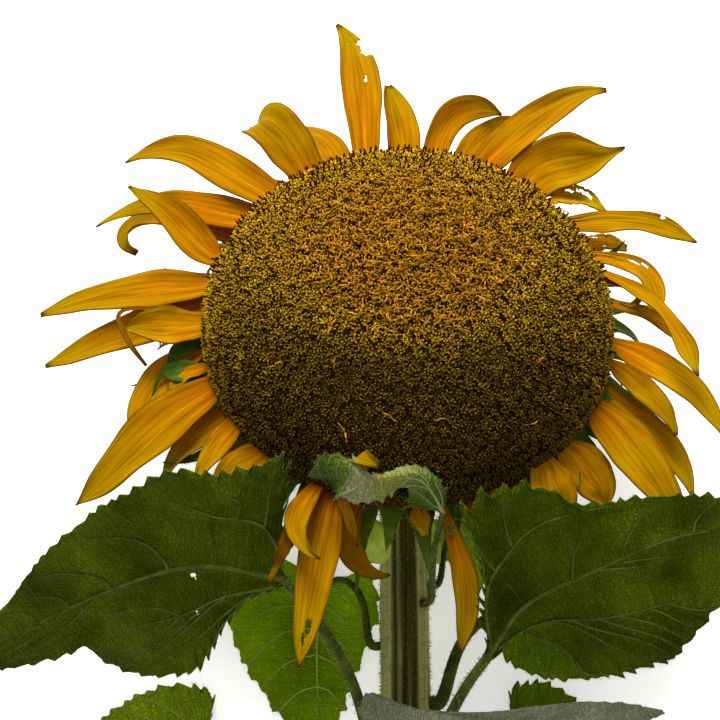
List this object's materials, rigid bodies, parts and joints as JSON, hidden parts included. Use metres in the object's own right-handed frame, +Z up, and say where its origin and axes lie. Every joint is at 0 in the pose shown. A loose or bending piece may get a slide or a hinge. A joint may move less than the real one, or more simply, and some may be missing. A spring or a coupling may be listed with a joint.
{
  "type": "cut sunflower",
  "caption": "Cut sunflower lying on a table: broad domed seed face, drooping yellow rays, green bracts, hairy bent stem and large toothed leaves.",
  "frame": {"origin": "on the table, under the middle of the whole part's box", "axes": "+Z up from the table; +Y along the stem towards the head; +X to the right as seen from the cut end"},
  "size_m": [0.4375, 0.5278, 0.1418],
  "materials": {
    "ray_petal": "matt golden ray petal with fine lengthwise veins",
    "disc_florets": "rough olive and orange field of small florets",
    "receptacle_green": "matt downy green",
    "stem_green": "ridged and hairy olive green",
    "leaf_green": "matt dark green leaf with pale raised veins"
  },
  "bodies": {
    "root": {"stem": "stem_green", "receptacle": "receptacle_green", "disc": "disc_florets", "leaf_front_curled": "leaf_green", "leaf_front_low": "leaf_green", "leaf_left_bright": "leaf_green", "leaf_left_large": "leaf_green", "leaf_left_low": "leaf_green", "leaf_neck_back": "leaf_green", "leaf_right_back": "leaf_green", "leaf_right_large": "leaf_green", "leaf_right_low": "leaf_green", "ray_petal_01": "ray_petal", "ray_petal_02": "ray_petal", "ray_petal_03": "ray_petal", "ray_petal_04": "ray_petal", "ray_petal_05": "ray_petal", "ray_petal_06": "ray_petal", "ray_petal_07": "ray_petal", "ray_petal_08": "ray_petal", "ray_petal_09": "ray_petal", "ray_petal_10": "ray_petal", "ray_petal_11": "ray_petal", "ray_petal_12": "ray_petal", "ray_petal_13": "ray_petal", "ray_petal_14": "ray_petal", "ray_petal_15": "ray_petal", "ray_petal_16": "ray_petal", "ray_petal_17": "ray_petal", "ray_petal_18": "ray_petal", "ray_petal_19": "ray_petal", "ray_petal_20": "ray_petal", "ray_petal_21": "ray_petal", "ray_petal_22": "ray_petal", "ray_petal_23": "ray_petal", "ray_petal_24": "ray_petal", "ray_petal_25": "ray_petal", "ray_petal_26": "ray_petal", "ray_petal_27": "ray_petal", "ray_petal_28": "ray_petal", "ray_petal_29": "ray_petal", "ray_petal_30": "ray_petal", "ray_petal_31": "ray_petal", "ray_petal_32": "ray_petal", "ray_petal_33": "ray_petal", "ray_petal_34": "ray_petal", "ray_petal_35": "ray_petal", "ray_petal_36": "ray_petal", "ray_petal_37": "ray_petal", "ray_petal_38": "ray_petal", "ray_petal_39": "ray_petal", "ray_petal_40": "ray_petal", "ray_petal_41": "ray_petal", "ray_petal_42": "ray_petal", "ray_petal_43": "ray_petal", "ray_petal_44": "ray_petal", "ray_petal_45": "ray_petal", "ray_petal_46": "ray_petal"}
  },
  "joints": []
}
